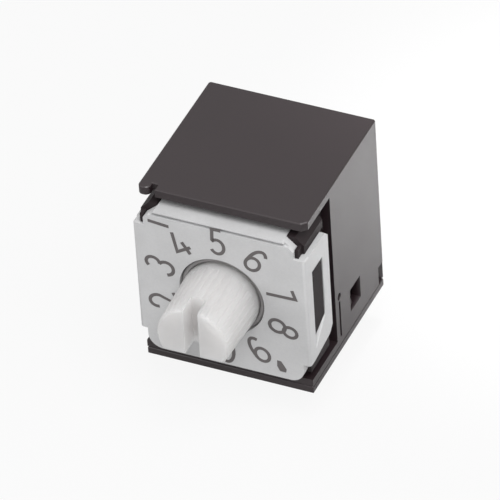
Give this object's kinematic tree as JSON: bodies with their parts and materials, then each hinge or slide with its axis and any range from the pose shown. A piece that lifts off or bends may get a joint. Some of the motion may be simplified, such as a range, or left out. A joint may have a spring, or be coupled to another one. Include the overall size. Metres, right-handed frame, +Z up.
{
  "type": "rotary coded switch",
  "caption": "Right-angle rotary DIP switch for a circuit board, with a fluted, slotted knob on a numbered grey dial.",
  "frame": {"origin": "centre of the housing's underside, which seats on the circuit board", "axes": "+X to the right seen from the dial, +Y from the dial to the back, along the knob's axis, +Z up from the board"},
  "size_m": [0.0102, 0.0144, 0.0142],
  "materials": {
    "housing_plastic": "fine matt black moulding",
    "base_plastic": "matt dark grey moulding",
    "cap_plastic": "satin light grey moulding",
    "knob_plastic": "soft gloss, slightly translucent white moulding",
    "seal_rubber": "smooth black rubber",
    "potting_resin": "cast dark resin",
    "contact_brass": "plated copper alloy",
    "spring_steel": "polished spring steel"
  },
  "bodies": {
    "case": {"housing": "housing_plastic", "pin_plate": "housing_plastic", "switch_base": "base_plastic", "dial_cap": "cap_plastic", "thrust_washer": "spring_steel", "contact_common_upper": "contact_brass", "contact_common_lower": "contact_brass", "contact_bit_1": "contact_brass", "contact_bit_2": "contact_brass", "contact_bit_4": "contact_brass", "contact_bit_8": "contact_brass", "potting_upper": "potting_resin", "potting_lower": "potting_resin"},
    "rotor": {"knob_rotor": "knob_plastic", "shaft_seal": "seal_rubber", "code_wheel": "contact_brass", "detent_spring": "spring_steel", "detent_ball_left": "spring_steel", "detent_ball_right": "spring_steel"}
  },
  "joints": [
    {"name": "knob_turn", "type": "hinge", "parent": "case", "child": "rotor", "pos_m": [0, 0, 0.00585], "axis": [0, 1, 0], "continuous": true}
  ]
}
